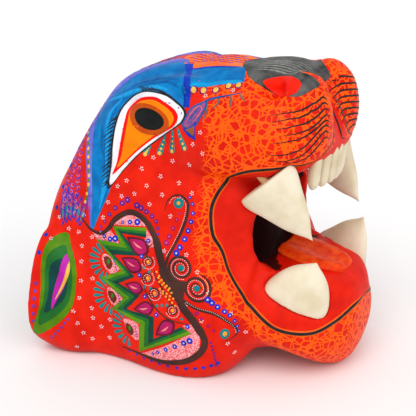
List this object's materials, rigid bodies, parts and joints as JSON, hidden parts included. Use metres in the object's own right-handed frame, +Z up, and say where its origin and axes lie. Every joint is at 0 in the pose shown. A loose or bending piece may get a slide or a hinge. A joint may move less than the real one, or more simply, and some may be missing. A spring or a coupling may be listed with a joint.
{
  "type": "mask",
  "caption": "Carved and painted wooden animal head mask, mouth wide open, hollow behind, with pegged teeth and glued ears, to hang on a wall or stand on a shelf",
  "frame": {"origin": "on the table, under the middle of the bounding box", "axes": "+Z up, the face looks along -Y, +X is the head's left side, the open back is the flat face at +Y"},
  "size_m": [0.2266, 0.235, 0.233],
  "materials": {
    "painted_wood": "hand-painted red ground with many-coloured pattern, satin",
    "tooth_wood": "cream paint, satin",
    "hardwood_dowel": "bare hardwood",
    "tongue_paint": "red paint with orange streaks, satin"
  },
  "bodies": {
    "root": {"head_shell": "painted_wood", "left_ear": "painted_wood", "right_ear": "painted_wood", "upper_canine_left": "tooth_wood", "upper_canine_left_peg": "hardwood_dowel", "upper_canine_right": "tooth_wood", "upper_canine_right_peg": "hardwood_dowel", "lower_canine_left": "tooth_wood", "lower_canine_left_peg": "hardwood_dowel", "lower_canine_right": "tooth_wood", "lower_canine_right_peg": "hardwood_dowel", "upper_incisor_1": "tooth_wood", "upper_incisor_2": "tooth_wood", "upper_incisor_3": "tooth_wood", "upper_incisor_4": "tooth_wood", "upper_incisor_5": "tooth_wood", "upper_incisor_6": "tooth_wood", "tongue": "tongue_paint", "left_ear_dowel_lower": "hardwood_dowel", "left_ear_dowel_upper": "hardwood_dowel", "right_ear_dowel_lower": "hardwood_dowel", "right_ear_dowel_upper": "hardwood_dowel"}
  },
  "joints": []
}
